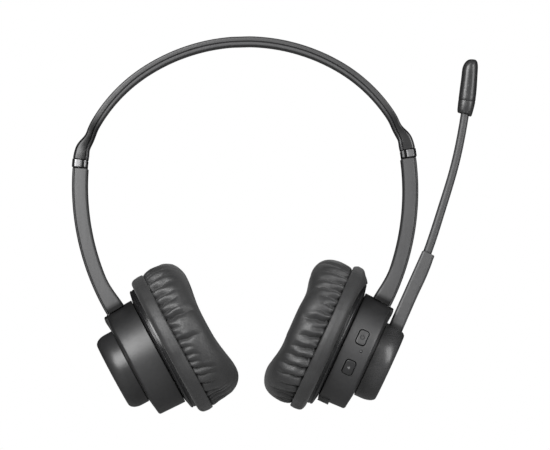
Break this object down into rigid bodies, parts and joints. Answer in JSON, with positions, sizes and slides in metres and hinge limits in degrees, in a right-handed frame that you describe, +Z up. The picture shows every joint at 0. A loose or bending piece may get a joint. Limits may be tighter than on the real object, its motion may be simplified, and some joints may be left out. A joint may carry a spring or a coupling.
{
  "type": "office headset",
  "caption": "On-ear office headset with a sprung headband, sliding arms, tilting padded ear cups and a swinging boom microphone.",
  "frame": {"origin": "middle of the underside of the headband, on the flat where it rests on the crown of the head or on a hook", "axes": "+Z up along the wearer's height, +X towards the ear cup that carries the microphone, +Y away from the side with the buttons"},
  "size_m": [0.1924, 0.071, 0.1756],
  "materials": {
    "satin_plastic": "satin moulded plastic, near black",
    "grey_plastic": "soft satin plastic, dark grey",
    "liner_plastic": "soft-touch liner, dark grey",
    "gloss_plastic": "polished moulded plastic, black",
    "leatherette": "pleated artificial leather over foam, black",
    "screen_cloth": "thin woven dust screen, black",
    "spring_steel": "brushed spring steel",
    "cable_rubber": "cable jacket, black",
    "board": "green circuit board",
    "cell": "foil pouch of a lithium cell",
    "nickel": "nickel-plated metal",
    "copper": "enamelled copper wire",
    "film": "thin plastic film",
    "light_pipe": "clear plastic"
  },
  "bodies": {
    "headband": {"headband_shell": "satin_plastic", "headband_liner": "liner_plastic", "spring_strip": "spring_steel", "headband_cable": "cable_rubber", "left_collar": "gloss_plastic", "right_collar": "gloss_plastic", "left_blade": "spring_steel", "right_blade": "spring_steel", "left_rivet": "nickel", "right_rivet": "nickel"},
    "left_arm": {"left_arm_shell": "grey_plastic", "left_arm_cover": "satin_plastic", "left_arm_cable": "cable_rubber", "left_arm_foot": "satin_plastic", "left_pivot_pin": "spring_steel"},
    "left_cup": {"left_housing": "satin_plastic", "left_pivot_block": "grey_plastic", "left_baffle": "gloss_plastic", "left_screw_1": "nickel", "left_screw_2": "nickel", "left_pad_ring": "satin_plastic", "left_dust_screen": "screen_cloth", "left_cushion": "leatherette", "left_driver_frame": "grey_plastic", "left_driver_magnet": "spring_steel", "left_diaphragm": "film", "left_voice_coil": "copper", "left_cover": "satin_plastic"},
    "right_arm": {"right_arm_shell": "grey_plastic", "right_arm_cover": "satin_plastic", "right_arm_cable": "cable_rubber", "right_arm_foot": "satin_plastic", "right_pivot_pin": "spring_steel"},
    "right_cup": {"right_housing": "satin_plastic", "right_pivot_block": "grey_plastic", "right_baffle": "gloss_plastic", "right_screw_1": "nickel", "right_screw_2": "nickel", "right_pad_ring": "satin_plastic", "right_dust_screen": "screen_cloth", "right_cushion": "leatherette", "right_driver_frame": "grey_plastic", "right_driver_magnet": "spring_steel", "right_diaphragm": "film", "right_voice_coil": "copper", "circuit_board": "board", "battery": "cell", "usb_socket": "nickel", "upper_switch": "nickel", "lower_switch": "nickel", "light_pipe": "light_pipe"},
    "boom": {"boom_hub": "satin_plastic", "hub_clip": "spring_steel", "boom_stem": "grey_plastic"},
    "microphone": {"boom_stalk": "grey_plastic", "mic_boot": "satin_plastic", "mic_shell": "gloss_plastic", "mic_element": "nickel"},
    "upper_key": {"upper_button": "grey_plastic"},
    "lower_key": {"lower_button": "satin_plastic"}
  },
  "joints": [
    {"name": "left_extend", "type": "slide", "parent": "headband", "child": "left_arm", "axis": [0.0509, 0, -0.9987], "range_m": [0, 0.025]},
    {"name": "right_extend", "type": "slide", "parent": "headband", "child": "right_arm", "axis": [-0.0509, 0, -0.9987], "range_m": [0, 0.025]},
    {"name": "left_tilt", "type": "hinge", "parent": "left_arm", "child": "left_cup", "pos_m": [-0.06113, 0, -0.1278], "axis": [0, 1, 0], "range_deg": [-6, 6]},
    {"name": "right_tilt", "type": "hinge", "parent": "right_arm", "child": "right_cup", "pos_m": [0.06113, 0, -0.1278], "axis": [0, 1, 0], "range_deg": [-6, 6]},
    {"name": "boom_swing", "type": "hinge", "parent": "right_cup", "child": "boom", "pos_m": [0.03793, 0, -0.13936], "axis": [0.8949, 0, -0.4462], "range_deg": [-135, 135]},
    {"name": "boom_flex", "type": "hinge", "parent": "boom", "child": "microphone", "pos_m": [0.0856, 0, -0.0972], "axis": [0, 1, 0], "range_deg": [-20, 25]},
    {"name": "upper_button_press", "type": "slide", "parent": "right_cup", "child": "upper_key", "axis": [-0.1184, 0.9641, -0.2375], "range_m": [0, 0.0004]},
    {"name": "lower_button_press", "type": "slide", "parent": "right_cup", "child": "lower_key", "axis": [0.1359, 0.9525, 0.2727], "range_m": [0, 0.0004]}
  ]
}
